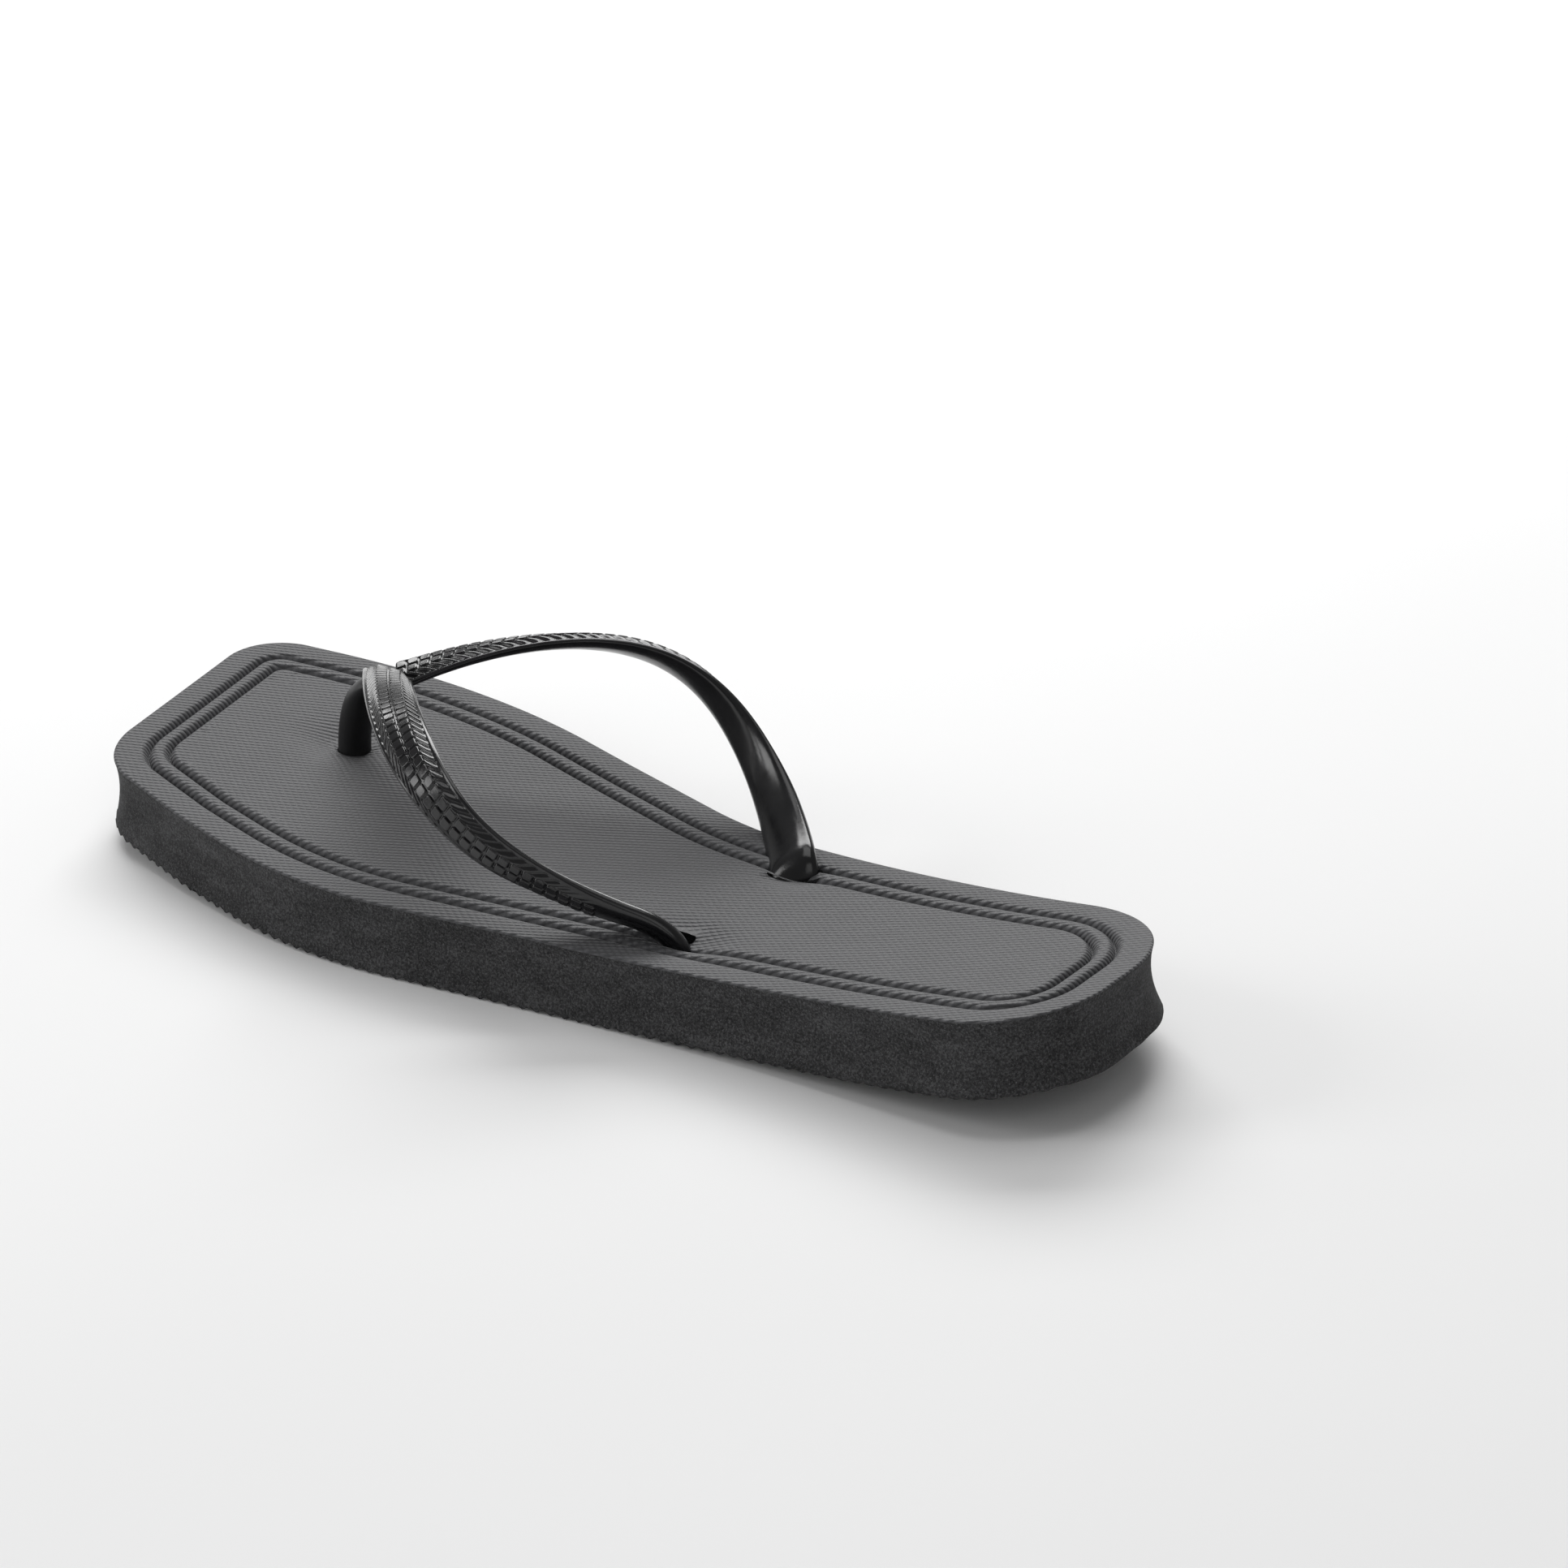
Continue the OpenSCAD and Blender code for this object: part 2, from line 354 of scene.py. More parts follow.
def strap_material(name, roughness):
    """Moulded soft plastic with a faint orange peel and slightly uneven gloss."""
    material, tree, shader = node_material(name)
    position = position_mm(tree)
    peel = noise(tree, position, 1.1)
    haze = noise(tree, position, 5.0, detail=4.0, roughness=0.6)
    fine = noise(tree, position, 0.18)
    colour = colour_ramp(tree, haze, [(0.3, STRAP_DARK), (0.75, STRAP_LIGHT)])
    tree.links.new(colour, shader.inputs["Base Color"])
    gloss = spread(tree, haze, 0.3, 0.7, roughness - SHINE_SPREAD, roughness + SHINE_SPREAD)
    tree.links.new(gloss, shader.inputs["Roughness"])
    skin = bump(tree, fine, 0.012, 0.5)
    tree.links.new(bump(tree, peel, 0.035, 0.5, skin), shader.inputs["Normal"])
    shader.inputs["Specular IOR Level"].default_value = 0.5
    return material


FOOTBED = footbed_material()
CUT_FOAM = cut_foam_material()
GLOSS = strap_material("strap_gloss", 0.2)
SATIN = strap_material("strap_satin", 0.42)


# ---------------------------------------------------------------- sole
FOOTBED_FACES, CUT_FACES = 0, 1
OUTLINE_STEP = 0.55
LEAST_CORNER_R = 2.5
TEETH_PITCH = 3.25
TEETH_DEPTH = 0.8
TEETH_SWAY = 2.2
TEETH_SWAY_PITCH = 9.0
WAVY_TO, STRAIGHT_FROM = 12, 24
HEEL_TEETH = 0.35
GROOVES = (7.2, 11.6)
GROOVE_HALF_W = 0.22
GROOVE_DEPTH = 1.9
SHOULDER_W = 1.55
SHOULDER_DROP = 1.35
SHOULDER_POWER = 2.4
RIM_W = 0.55
RIM_DROP = 0.4
RIM_POWER = 2.5
PANEL_EDGE = 13.6
RIM_INSETS = [0, 0.08, 0.2, 0.35, 0.6, 2.2, 4.0]
SHOULDER_INSETS = [0.0, 0.06, 0.15, 0.27, 0.42, 0.6, 0.82, 1.1, 1.5]
WALL_ROWS = 12
WALL_HOLLOW = 0.7
WALL_FLARE = 0.8
HEEL_FLARE = 0.7
RIB_FLARE = 0.15

# Around each hole the strap presses a hollow: hole, radius across, depth, length over width.
HOLLOWS = [(TOE_HOLE, 15.0, 2.6, 1.3), (OUTER_HOLE, 11.0, 1.7, 1.6), (INNER_HOLE, 10.0, 1.2, 1.4)]
HOLLOW_FALL = 2.1

# The slots that the arms slide into: turn in degrees, shift from the hole, length and width.
OUTER_SLOT = (10.0, (4.3, -1.0), 8.6, 3.9)
INNER_SLOT = (30.0, (0.6, -1.1), 11.5, 4.8)
SLOT_POWER = 0.6
RAGGED = 0.12
LOOP_POINTS = 48


def profile(d):
    """Height of the footbed at a distance in from its edge: rim, groove, bead, groove, panel."""
    height = -RIM_DROP * max(0.0, 1 - d / RIM_W) ** RIM_POWER
    for groove in GROOVES:
        q = abs(d - groove) - GROOVE_HALF_W
        if q < -0.01:
            return -GROOVE_DEPTH
        height -= SHOULDER_DROP * max(0.0, 1 - q / SHOULDER_W) ** SHOULDER_POWER
    return height


def profile_insets():
    """Distances in from the edge at which the footbed's rings lie, close together at the grooves."""
    insets = list(RIM_INSETS)
    for groove in GROOVES:
        insets += [groove - GROOVE_HALF_W - q for q in SHOULDER_INSETS[::-1]]
        insets += [groove - 0.12, groove + 0.12]
        insets += [groove + GROOVE_HALF_W + q for q in SHOULDER_INSETS]
    return insets + [PANEL_EDGE]


def corner_in(i, inset):
    """Where a corner of the outline lies once both its sides are moved in by an inset."""
    n = len(SOLE_CORNERS)
    p = np.array(SOLE_CORNERS[i][0], float)
    before = unit(p - np.array(SOLE_CORNERS[i - 1][0], float))
    after = unit(np.array(SOLE_CORNERS[(i + 1) % n][0], float) - p)
    inward = unit(np.array([-before[1] - after[1], before[0] + after[0]]))
    return p + inward * inset / (inward @ np.array([-before[1], before[0]]))


def outline(inset, arc_steps, line_steps):
    """The sole's outline moved in by an inset; every inset gives the same number of points."""
    n = len(SOLE_CORNERS)
    corners = [corner_in(i, inset) for i in range(n)]
    arcs = []
    for i in range(n):
        before, p, after = corners[i - 1], corners[i], corners[(i + 1) % n]
        u, v = unit(before - p), unit(after - p)
        turn = (p - before)[0] * (after - p)[1] - (p - before)[1] * (after - p)[0]
        r = max(LEAST_CORNER_R, SOLE_CORNERS[i][1] - math.copysign(inset, turn))
        half = math.acos(np.clip(u @ v, -1, 1)) / 2
        centre = p + unit(u + v) * r / math.sin(half)
        start = p + u * r / math.tan(half) - centre
        end = p + v * r / math.tan(half) - centre
        swing = math.atan2(start[0] * end[1] - start[1] * end[0], start @ end)
        a = swing * np.linspace(0, 1, arc_steps[i] + 1)
        arcs.append(centre + np.stack([start[0] * np.cos(a) - start[1] * np.sin(a),
                                       start[0] * np.sin(a) + start[1] * np.cos(a)], 1))
    points = []
    for i in range(n):
        points.append(arcs[i])
        a, b = arcs[i][-1], arcs[(i + 1) % n][0]
        t = np.linspace(0, 1, line_steps[i] + 1)[1:-1, None]
        points.append(a + (b - a) * t)
    return np.concatenate(points)


def outline_steps():
    """Steps along each corner and side that put neighbouring points about OUTLINE_STEP apart."""
    n = len(SOLE_CORNERS)
    few = 8
    coarse = outline(0, [few] * n, [1] * n).reshape(n, few + 1, 2)
    arcs, lines = [], []
    for i in range(n):
        arc = np.linalg.norm(np.diff(coarse[i], axis=0), axis=1).sum()
        arcs.append(max(4, round(arc / OUTLINE_STEP)))
        gap = np.linalg.norm(coarse[(i + 1) % n][0] - coarse[i][-1])
        lines.append(max(1, round(gap / OUTLINE_STEP)))
    return arcs, lines


ARC_STEPS, LINE_STEPS = outline_steps()


def ring_at(inset):
    return outline(inset, ARC_STEPS, LINE_STEPS)


def hollow_depth_at(xy):
    """How far the strap presses the footbed down around each of its holes."""
    depth = np.zeros(len(xy))
    for hole, r, deep, length in HOLLOWS:
        away = (xy - np.array(hole)) / [length, 1.0]
        d = np.linalg.norm(away, axis=1) / r
        depth += deep * np.exp(-(HOLLOW_FALL * d) ** 2)
    return depth


def with_height(xy, height):
    """Points of the footbed at a height over its curled plane."""
    return np.column_stack([xy, SOLE_T + curl(xy[:, 0]) + height - hollow_depth_at(xy)])


def teeth(xy):
    """Height of the outsole's cross ribs: wavy in the middle, straight at the sides, low at the heel."""
    middle = 1 - smooth(WAVY_TO, STRAIGHT_FROM, np.abs(xy[:, 1]))
    sway = TEETH_SWAY * middle * np.abs((xy[:, 1] / TEETH_SWAY_PITCH) % 2 - 1)
    phase = 2 * np.pi * (xy[:, 0] + sway) / TEETH_PITCH
    depth = TEETH_DEPTH * (HEEL_TEETH + (1 - HEEL_TEETH) * smooth(-90, -30, xy[:, 0]))
    return depth * (0.5 - 0.5 * np.cos(phase))


def underside(xy):
    """Points of the ribbed underside."""
    return np.column_stack([xy, curl(xy[:, 0]) + teeth(xy)])


def inside(points, loop):
    """Which points lie within a closed loop."""
    x, y = points[:, 0], points[:, 1]
    result = np.zeros(len(points), bool)
    for (x1, y1), (x2, y2) in zip(loop, np.roll(loop, -1, axis=0)):
        crosses = (y1 > y) != (y2 > y)
        if y1 != y2:
            result ^= crosses & (x < (x2 - x1) * (y - y1) / (y2 - y1) + x1)
    return result


def filled(border, holes, extra):
    """Triangles over the area inside border and outside the holes, through the extra points."""
    loops = [border, *holes]
    verts = np.concatenate(loops + [extra])
    edges, start = [], 0
    for loop in loops:
        count = len(loop)
        edges += [(start + k, start + (k + 1) % count) for k in range(count)]
        start += count
    out = delaunay_2d_cdt([Vector(p) for p in verts.tolist()], edges, [], 0, 1e-5)
    points, faces = np.array([v[:] for v in out[0]]), np.array(out[2])
    centres = points[faces].mean(axis=1)
    keep = inside(centres, border)
    for hole in holes:
        keep &= ~inside(centres, hole)
    return points, faces[keep]


def clear_of(points, loops, gap):
    """The points at least a gap away from every loop."""
    batch = 2000
    keep = np.ones(len(points), bool)
    for loop in loops:
        for k in range(0, len(points), batch):
            part = points[k:k + batch]
            d = np.linalg.norm(part[:, None] - loop[None], axis=2).min(axis=1)
            keep[k:k + batch] &= d > gap
    return points[keep]


def slot_loop(hole, slot):
    """Outline of an arm's slot in the footbed, with slightly torn edges."""
    turn, shift, length, width = slot
    a = np.linspace(0, 2 * np.pi, LOOP_POINTS, endpoint=False)
    x = length / 2 * np.sign(np.cos(a)) * np.abs(np.cos(a)) ** SLOT_POWER
    y = width / 2 * np.sign(np.sin(a)) * np.abs(np.sin(a))
    wobble = RAGGED * (np.sin(5 * a + 1) + 0.6 * np.sin(11 * a + 2))
    x, y = x + wobble * np.cos(a), y + wobble * np.sin(a)
    c, s = math.cos(math.radians(turn)), math.sin(math.radians(turn))
    return np.column_stack([hole[0] + shift[0] + x * c - y * s, hole[1] + shift[1] + x * s + y * c])


def round_loop(at, r, count=LOOP_POINTS):
    a = np.linspace(0, 2 * np.pi, count, endpoint=False)
    return np.column_stack([at[0] + r * np.cos(a), at[1] + r * np.sin(a)])


def add_footbed(skin, holes):
    """The rim and grooves in rings, then the panel around the holes, finer near each of them."""
    rings = [with_height(ring_at(d), profile(d)) for d in profile_insets()]
    skin.strip(rings, FOOTBED_FACES)
    border = ring_at(PANEL_EDGE)
    step = 2.4
    xs = np.arange(-SOLE_HALF, SOLE_HALF, step)
    ys = np.arange(-50, 50, step)
    grid = np.array([(x, y + (i % 2) * step / 2) for i, x in enumerate(xs) for y in ys])
    fine = [round_loop(hole, r, 40) for hole in HOLES for r in np.arange(8, 20, 1.5)]
    extra = np.concatenate([grid, *fine])
    extra = clear_of(extra[inside(extra, border)], [border, *holes], 0.9)
    for hole in holes:
        extra = extra[~inside(extra, hole)]
    points, faces = filled(border, holes, extra)
    raised = with_height(points, 0)
    for f in faces:
        skin.face(raised[f], FOOTBED_FACES)


def add_wall(skin):
    """The side, cut slightly hollow and flaring at the bottom, more so at the heel."""
    edge = ring_at(0)
    outward = edge - ring_at(1.0)
    flare = WALL_FLARE + HEEL_FLARE * smooth(60, 120, -edge[:, 0])
    high = with_height(edge, profile(0))[:, 2]
    above_teeth = curl(edge[:, 0]) + TEETH_DEPTH
    rows = []
    for w in np.linspace(0, 1, WALL_ROWS):
        out = -WALL_HOLLOW * np.sin(np.pi * w ** 0.8) + flare * w ** 3
        z = high * (1 - w) + above_teeth * w
        rows.append(np.column_stack([edge + outward * out[:, None], z]))
    rows.append(underside(edge + outward * (flare + RIB_FLARE)[:, None]))
    skin.strip(rows, CUT_FACES, flip=True)
    return rows[-1][:, :2]


def add_underside(skin, base, rims):
    """The ribs, with rows of points at every quarter of a rib."""
    xs = np.arange(-SOLE_HALF - 1, SOLE_HALF + 1, TEETH_PITCH / 4)
    ys = np.arange(-48, 48, 2.25)
    grid = np.array([(x, y) for x in xs for y in ys])
    grid = clear_of(grid[inside(grid, base)], [base, *rims], 0.45)
    for rim in rims:
        grid = grid[~inside(grid, rim)]
    points, faces = filled(base, rims, grid)
    lowered = underside(points)
    for f in faces:
        skin.face(lowered[f][::-1], CUT_FACES)


def add_hole(skin, rim, hole):
    """A plug's recess in the underside, and the hole from its roof up to the footbed."""
    roof_z = curl(rim[:, 0].mean()) + RECESS_DEPTH
    roof = np.column_stack([rim, np.full(len(rim), roof_z)])
    skin.strip([underside(rim), roof], CUT_FACES, flip=True)
    points, faces = filled(rim, [hole], np.zeros((0, 2)))
    for f in faces:
        skin.face([(*points[k], roof_z) for k in f[::-1]], CUT_FACES)
    bottom = np.column_stack([hole, np.full(len(hole), roof_z)])
    rise = with_height(hole, 0) - bottom
    skin.strip([bottom + rise * t for t in np.linspace(0, 1, 5)], CUT_FACES)


def make_sole():
    holes = [
        round_loop(TOE_HOLE, POST_R + 0.1),
        slot_loop(OUTER_HOLE, OUTER_SLOT),
        slot_loop(INNER_HOLE, INNER_SLOT),
    ]
    rims = [round_loop(hole, RECESS_R) for hole in HOLES]
    skin = Skin()
    add_footbed(skin, holes)
    base = add_wall(skin)
    add_underside(skin, base, rims)
    for rim, hole in zip(rims, holes):
        add_hole(skin, rim, hole)
    return skin.build("sole_foam", [FOOTBED, CUT_FOAM])


sole = make_sole()
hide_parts("sole")
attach(sole, FIXED_BODY)


# ---------------------------------------------------------------- strap
PAD_PITCH = 2.7
PAD_HALF_L = 1.12
PAD_HALF_W = 1.08
PAD_MIDDLE = 1.36
PAD_CORNER_R = 0.45
PAD_H = 0.5
RIB_H = 0.36
RIB_SLANT = 2.0
RIB_FROM = 2.5
FLOOR_H = 1.15
FLOOR_PLACES = [0, 2.5, 3.2, 3.9, 4.3, 4.8, 5.0, 5.15]
FLOOR_HEIGHTS = [FLOOR_H, FLOOR_H - 0.03, 0.8, 0.28, 0.05, -0.05, -0.25, -0.5]
ROUTE_STEPS = 800
DIVE_STEPS = 24
STEM_DEPTH = 9.0
STEM_RISE = 6.5
SEAM_AT = 0.6
FRONT_BENDS_TO = 0.3
TAIL_BENDS_FROM = 0.68
KNOT_HELD = 2.0
HOLE_HELD = 4.0
TREAD_FADE = 16
STEM_FADE = 30
BACK_STATIONS = 19


def half_outward_stations():
    """Places across half an arm, close together where the tread pattern changes."""
    pad_side = [0.0, 0.17, 0.24, 0.31, 0.38, 0.5, 0.8, 1.3, 1.8, 2.15, 2.32, 2.4, 2.47]
    return np.array([*pad_side, *np.arange(2.55, 4.4, 0.15), 4.5, 4.65, 4.8, 4.9, 5.0, 5.08, 5.15])


def tread(s, v, pattern_end):
    """Height of the moulded tread over the arm's floor, s along it and v across it."""
    a = s / PAD_PITCH
    cell = (a - np.floor(a) - 0.5) * PAD_PITCH
    dx = np.maximum(np.abs(cell) - (PAD_HALF_L - PAD_CORNER_R), 0)
    dy = np.maximum(np.abs(np.abs(v) - PAD_MIDDLE) - (PAD_HALF_W - PAD_CORNER_R), 0)
    pads = PAD_H * (1 - smooth(-0.1, 0.1, np.hypot(dx, dy) - PAD_CORNER_R))
    b = (s - RIB_SLANT * (np.abs(v) - RIB_FROM)) / PAD_PITCH
    off = np.abs(b - np.floor(b) - 0.5) * PAD_PITCH * math.cos(math.atan(RIB_SLANT))
    between = smooth(2.46, 2.62, np.abs(v)) * (1 - smooth(4.15, 4.35, np.abs(v)))
    rim = smooth(4.15, 4.4, np.abs(v))
    ribs = RIB_H * (between * smooth(0.14, 0.38, off) + 0.8 * rim)
    row_end = (np.floor(a) + 1) * PAD_PITCH
    return np.where(row_end < pattern_end, pads, 0), ribs


class Arm:
    """One arm of the strap: its middle line, its frame along it and the section at each place.

    The arm follows its route up to the fraction dive_from, then slides into its slot over
    dive_l and turns down through the sole. Its front end is rounded over tip_l, its tread stops
    at pattern_end, and stem_w and stem_t are the stem's width and thickness over the band's.
    """

    def __init__(self, route, across_route, outward_sign, pattern_end, tip_l, dive_from, dive_l,
                 stem_w, stem_t):
        self.sign = outward_sign
        self.pattern_end = pattern_end
        self.tip_l = tip_l
        self.dive_l = dive_l
        self.stem_w = stem_w
        self.stem_t = stem_t
        t = np.linspace(0, dive_from, ROUTE_STEPS + 1)
        free = bezier(route, t) + [0, 0, SOLE_T]
        free_along = heading(route, t, 0.01)
        free_side = across(free_along, bezier(across_route, t))
        last, direction = free[-1], free_along[-1]
        foot = last + direction * dive_l
        foot[2] = SOLE_T + float(curl(foot[0])) - STEM_DEPTH
        bend = [last, last + direction * dive_l * 0.7, foot + np.array([0, 0, STEM_RISE]), foot]
        u = np.linspace(0, 1, DIVE_STEPS + 1)[1:]
        dive_along = heading(bend, u, 0.02)
        self.middle = np.concatenate([free, bezier(bend, u)])
        self.along = np.concatenate([free_along, dive_along])
        self.side = np.concatenate([free_side, across(dive_along, free_side[-1])])
        steps = np.linalg.norm(np.diff(self.middle, axis=0), axis=1)
        self.s = np.concatenate([[0], np.cumsum(steps)])
        self.length = self.s[ROUTE_STEPS]
        self.total = self.s[-1]

    def at(self, s, table):
        """A table of the arm read at distances s along it."""
        return np.column_stack([np.interp(s, self.s, table[:, k]) for k in range(3)])

    def section(self, s):
        """Points around the arm at one place, outward face first."""
        stations = half_outward_stations()
        v = np.concatenate([stations[::-1], -stations[1:]])
        x = np.abs(v) / ARM_HALF_W
        plain = ARM_HALF_T * np.sqrt(np.maximum(0, 1 - x ** 2.6)) ** 1.1
        floor = np.interp(np.abs(v), FLOOR_PLACES, FLOOR_HEIGHTS)
        pads, ribs = tread(s, v, self.pattern_end)
        w = 1 - smooth(self.pattern_end - TREAD_FADE, self.pattern_end + 1, s)
        shaped = plain * (1 - w) + (floor + ribs) * w + pads * (1 - 0.45 * (1 - w))
        # Towards its hole the band becomes a thicker oval.
        stem = float(smooth(self.length - STEM_FADE, self.length + 4, s))
        through = float(smooth(self.length + 0.75 * self.dive_l, self.total, s))
        width = 1 + (self.stem_w - 1) * stem - 0.3 * through
        thick = 1 + (self.stem_t - 1) * stem
        a = np.linspace(0, np.pi, BACK_STATIONS)[1:-1]
        back_v = -ARM_HALF_W * np.sign(np.cos(a)) * np.abs(np.cos(a)) ** 0.8
        back_h = -ARM_HALF_T * np.sin(a) ** 0.85
        all_v = np.concatenate([v, back_v]) * width
        all_h = np.concatenate([shaped, back_h]) * thick
        tip = math.sqrt(max(0.05, 1 - (1 - min(1, s / self.tip_l)) ** 2))
        return all_v * tip, all_h * tip

    def rings(self, places):
        """The arm's section set up at each place."""
        along = unit(self.at(places, self.along))
        side = across(along, self.at(places, self.side))
        out = np.cross(along, side) * self.sign
        rings = []
        for s, p, sideways, outward in zip(places, self.at(places, self.middle), side, out):
            v, h = self.section(s)
            rings.append(p + sideways * v[:, None] + outward * h[:, None])
        return rings

    def stations(self, s_from, s_to):
        """Places along the arm, close together over the tread."""
        fine, coarse = 0.16, 0.8
        places = [s_from]
        while places[-1] < s_to - 1e-6:
            step = fine if places[-1] < self.pattern_end + 1 else coarse
            places.append(min(s_to, places[-1] + step))
        return places

    def piece(self, name, s_from, s_to):
        """The arm's skin between two places, closed at the arm's own ends and open at the seam."""
        skin = Skin()
        rings = self.rings(self.stations(s_from, s_to))
        flip = self.sign > 0
        skin.strip(rings, flip=flip)
        if s_from == 0:
            skin.cap(rings[0], flip=flip)
        if s_to == self.total:
            skin.cap(rings[-1], flip=not flip)
        return skin.build(name, [GLOSS])


def place_arm(arm, name, cad_nodes):
    """The arm's front half and its tail, built as two pieces that meet at the seam, in place of the CAD
    model's arm and anchor.
    """
    seam = arm.length * SEAM_AT
    front = arm.piece(name + "_front", 0.0, seam)
    tail = arm.piece(name + "_tail", seam, arm.total)
    places = [KNOT_HELD, arm.length * FRONT_BENDS_TO, arm.length * TAIL_BENDS_FROM,
              arm.length - HOLE_HELD]
    knot, front_free, tail_free, hole = (tuple(p) for p in arm.at(places, arm.middle) * MM)
    for piece, node in zip((front, tail), cad_nodes):
        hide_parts(node)
    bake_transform(front)
    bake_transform(tail)


outer = Arm(OUTER_ROUTE, OUTER_ACROSS, outward_sign=-1, pattern_end=117.0, tip_l=1.2,
            dive_from=0.945, dive_l=12.0, stem_w=0.9, stem_t=1.1)
inner = Arm(INNER_ROUTE, INNER_ACROSS, outward_sign=1, pattern_end=104.0, tip_l=0.6,
            dive_from=0.972, dive_l=4.2, stem_w=1.05, stem_t=1.2)
place_arm(outer, "outer_arm_strap", ("outer_arm", "outer_anchor"))
place_arm(inner, "inner_arm_strap", ("inner_arm", "inner_anchor"))


POST_LINE = [(80, -9, -9), (80.5, -9, 2), (79.5, -9.3, 12), (74, -9.4, 18.5), (63, -8.6, 19.5)]
KNOT_WIDER = 0.9
KNOT_THINNER = 1.9
KNOT_CLOSES_AT = 0.85


def make_post():
    """Round post between the toes that leans back and flattens into the knot under the arms."""
    t = np.linspace(0, 1, 41)
    middle = bezier(POST_LINE, t) + [0, 0, SOLE_T]
    along = heading(POST_LINE, t, 0.01)
    side = across(along, np.array([0, 1.0, 0]))
    up = np.cross(along, side)
    a = np.linspace(0, 2 * np.pi, 40, endpoint=False)
    rings = []
    for k in range(len(t)):
        flat = float(smooth(0.45, 0.9, t[k]))
        past = max(0, (t[k] - KNOT_CLOSES_AT) / (1 - KNOT_CLOSES_AT))
        close = math.sqrt(max(0.01, 1 - past ** 2))
        wide = (POST_R + KNOT_WIDER * flat) * close
        thick = (POST_R - KNOT_THINNER * flat) * close
        sideways = side[k] * (wide * np.cos(a))[:, None]
        rings.append(middle[k] + sideways + up[k] * (thick * np.sin(a))[:, None])
    skin = Skin()
    skin.strip(rings)
    skin.cap(rings[0], flip=True)
    skin.cap(rings[-1])
    post = skin.build("toe_post_strap", [SATIN])
    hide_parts("toe_post")
    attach(post, FIXED_BODY)


make_post()


def make_plug(name, hole, stem_r):
    """Turned plug that holds a strap end under the sole: domed rim, sunk middle and a raised ring."""
    z = float(curl(hole[0])) + PLUG_LIFT
    centre_r = 0.02
    stem_top = PLUG_T + 7.0
    turned = [(centre_r, 0.35), (2.2, 0.35), (2.6, 0.1), (3.2, 0.02), (3.8, 0.1), (4.2, 0.3),
              (6.4, 0.3), (6.9, 0.1), (7.6, 0.0), (8.2, 0.15), (PLUG_R, 0.6), (PLUG_R, PLUG_T - 0.6),
              (8.2, PLUG_T - 0.1), (7.6, PLUG_T), (stem_r + 0.8, PLUG_T), (stem_r, PLUG_T + 0.8),
              (stem_r, stem_top), (centre_r, stem_top)]
    rings = []
    for r, h in turned:
        circle = round_loop(hole, r, 64)
        rings.append(np.column_stack([circle, np.full(len(circle), z + h)]))
    skin = Skin()
    skin.strip(rings)
    skin.cap(rings[0], flip=True)
    skin.cap(rings[-1])
    plug = skin.build(name, [SATIN])
    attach(plug, FIXED_BODY)


make_plug("toe_plug", TOE_HOLE, 3.2)
make_plug("outer_plug", OUTER_HOLE, 2.0)
make_plug("inner_plug", INNER_HOLE, 2.0)


# ---------------------------------------------------------------- floor, light and camera
FLOOR_HALF = 6000
FLOOR_DROP = 0.0002
FLOOR_DARK = (0.86, 0.86, 0.86)
FLOOR_LIGHT = (0.9, 0.9, 0.9)
WORLD_STRENGTH = 0.22
CAMERA_PLACE = Vector((-683.75, 673.04, 462.79)) * MM
CAMERA_FORWARD = Vector((0.62363, -0.66463, -0.41151)).normalized()
CAMERA_ROLL = 2.6
LENS = 121.12


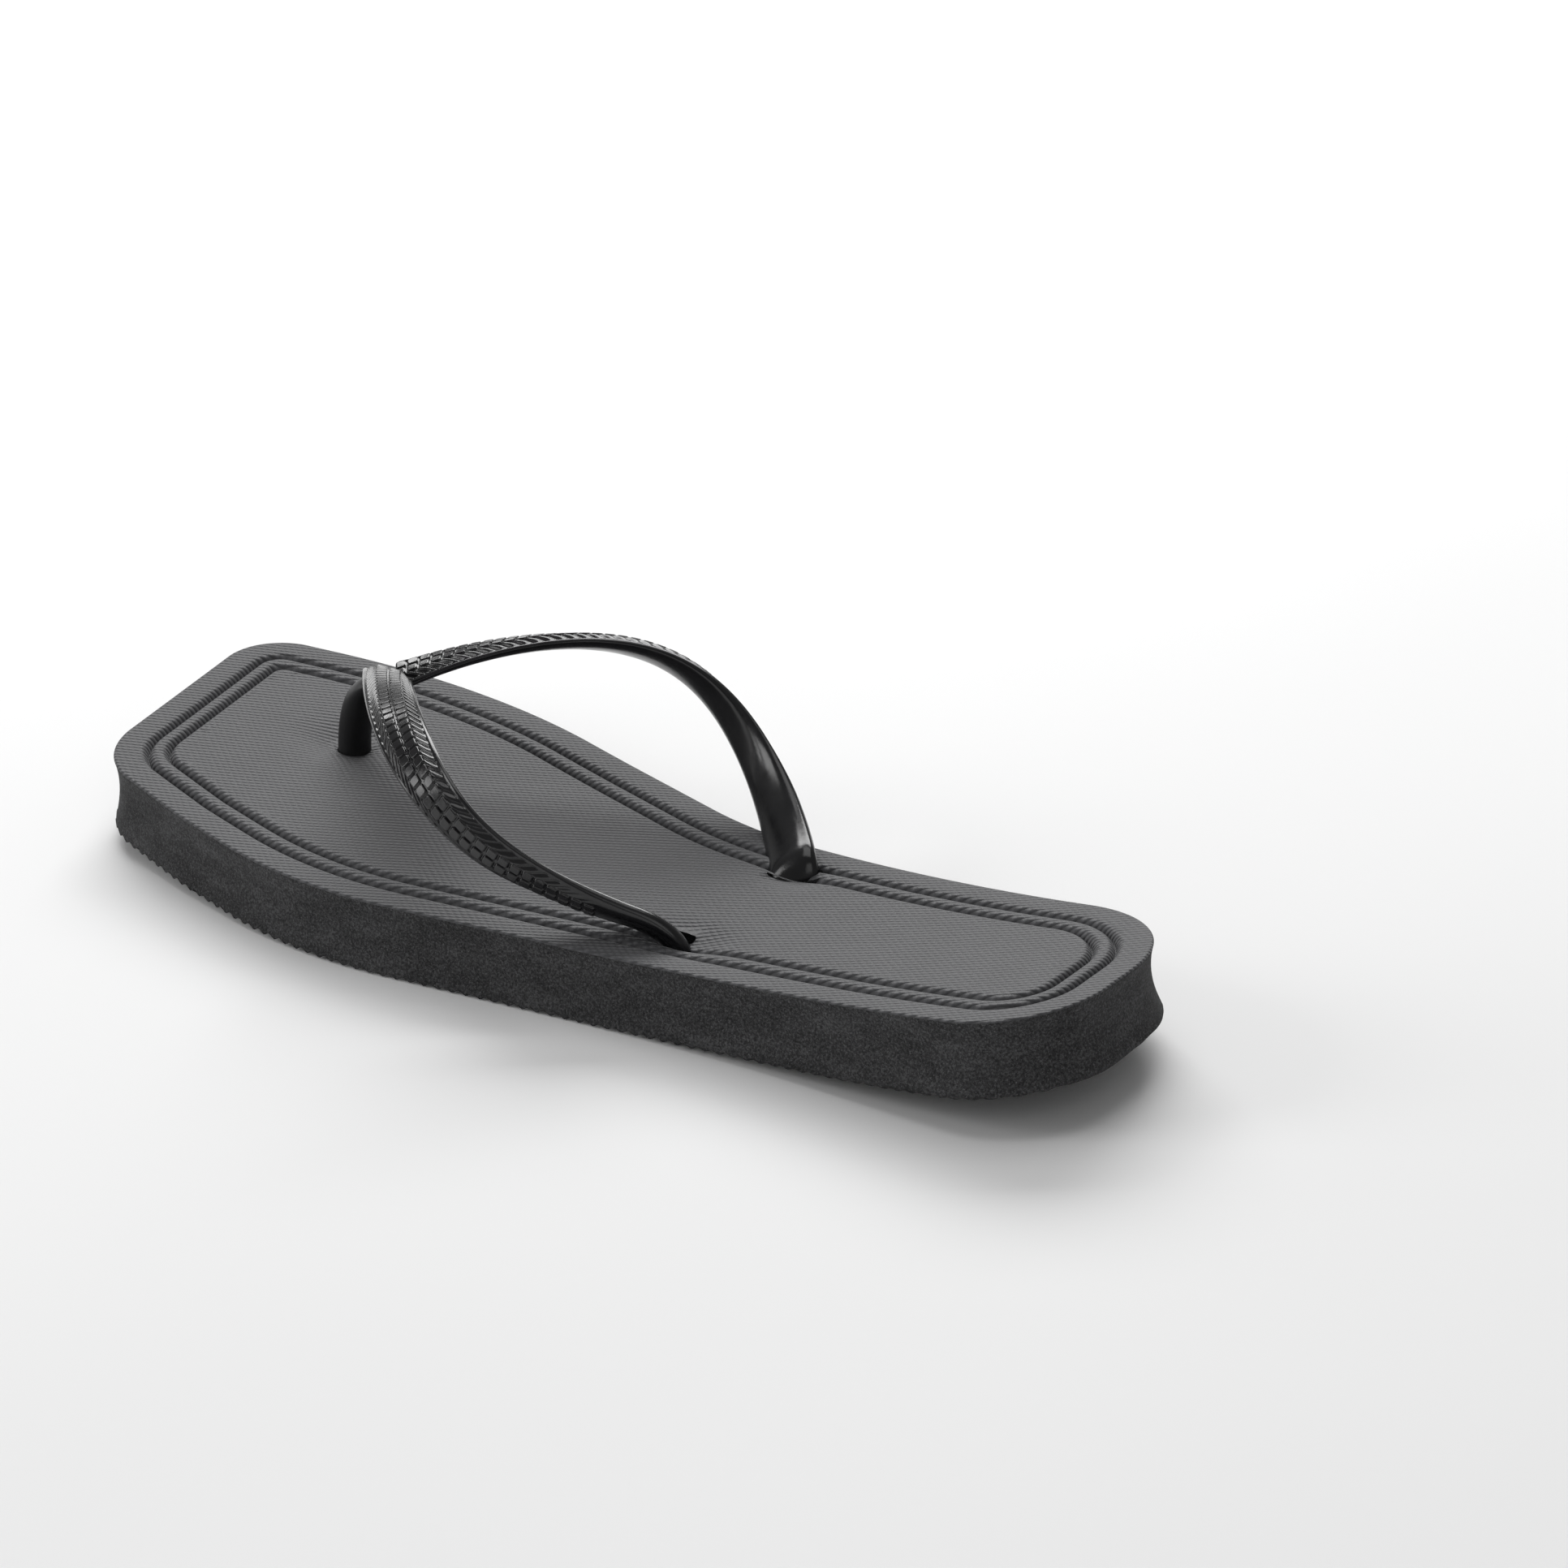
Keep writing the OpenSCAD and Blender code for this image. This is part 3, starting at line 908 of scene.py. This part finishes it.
def make_floor():
    """A pale floor just under the sole."""
    material, tree, shader = node_material("floor")
    patches = noise(tree, position_mm(tree), 400)
    colour = colour_ramp(tree, patches, [(0.3, FLOOR_DARK), (0.7, FLOOR_LIGHT)])
    tree.links.new(colour, shader.inputs["Base Color"])
    shader.inputs["Roughness"].default_value = 0.9
    shader.inputs["Specular IOR Level"].default_value = 0.1
    corners = [(x * FLOOR_HALF, y * FLOOR_HALF, 0) for x, y in ((-1, -1), (1, -1), (1, 1), (-1, 1))]
    floor = mesh_object("floor", corners, [(0, 1, 2, 3)], [0], [material])
    floor.location.z = -FLOOR_DROP


def area_light(name, place, target, size, power):
    """A soft light at a place, in metres, that faces a target."""
    data = bpy.data.lights.new(name, "AREA")
    data.shape = "RECTANGLE"
    data.size, data.size_y = size
    data.energy = power
    lamp = bpy.data.objects.new(name, data)
    bpy.context.scene.collection.objects.link(lamp)
    lamp.location = place
    lamp.rotation_mode = "QUATERNION"
    lamp.rotation_quaternion = (Vector(target) - Vector(place)).to_track_quat("-Z", "Y")


def make_camera():
    """The camera at its place, turned about its line of sight by the roll."""
    right = CAMERA_FORWARD.cross(Vector((0, 0, 1))).normalized()
    up = right.cross(CAMERA_FORWARD)
    roll = math.radians(CAMERA_ROLL)
    rolled_right = right * math.cos(roll) - up * math.sin(roll)
    rolled_up = right * math.sin(roll) + up * math.cos(roll)
    data = bpy.data.cameras.new("camera")
    data.sensor_width = 36
    data.lens = LENS
    data.clip_start, data.clip_end = 0.01, 50
    camera = bpy.data.objects.new("camera", data)
    bpy.context.scene.collection.objects.link(camera)
    turn = Matrix((rolled_right, rolled_up, -CAMERA_FORWARD)).transposed()
    camera.matrix_world = Matrix.Translation(CAMERA_PLACE) @ turn.to_4x4()
    bpy.context.scene.camera = camera


make_floor()
centre = (0.0, 0.0, 0.02)
area_light("back_softbox", (1.0, -1.1, 1.15), (0.45, -0.5, 0), (1.6, 1.0), 32)
area_light("overhead", (0.1, -0.15, 1.4), centre, (1.0, 1.0), 5)
area_light("toe_side", (0.85, 0.9, 0.55), centre, (0.5, 0.8), 5)
area_light("camera_side", (-1.1, 0.9, 0.9), centre, (0.9, 0.9), 2)
world = bpy.data.worlds.new("studio")
world.use_nodes = True
background = world.node_tree.nodes["Background"]
background.inputs["Color"].default_value = (1, 1, 1, 1)
background.inputs["Strength"].default_value = WORLD_STRENGTH
bpy.context.scene.world = world
bpy.context.scene.view_settings.view_transform = "Standard"
make_camera()
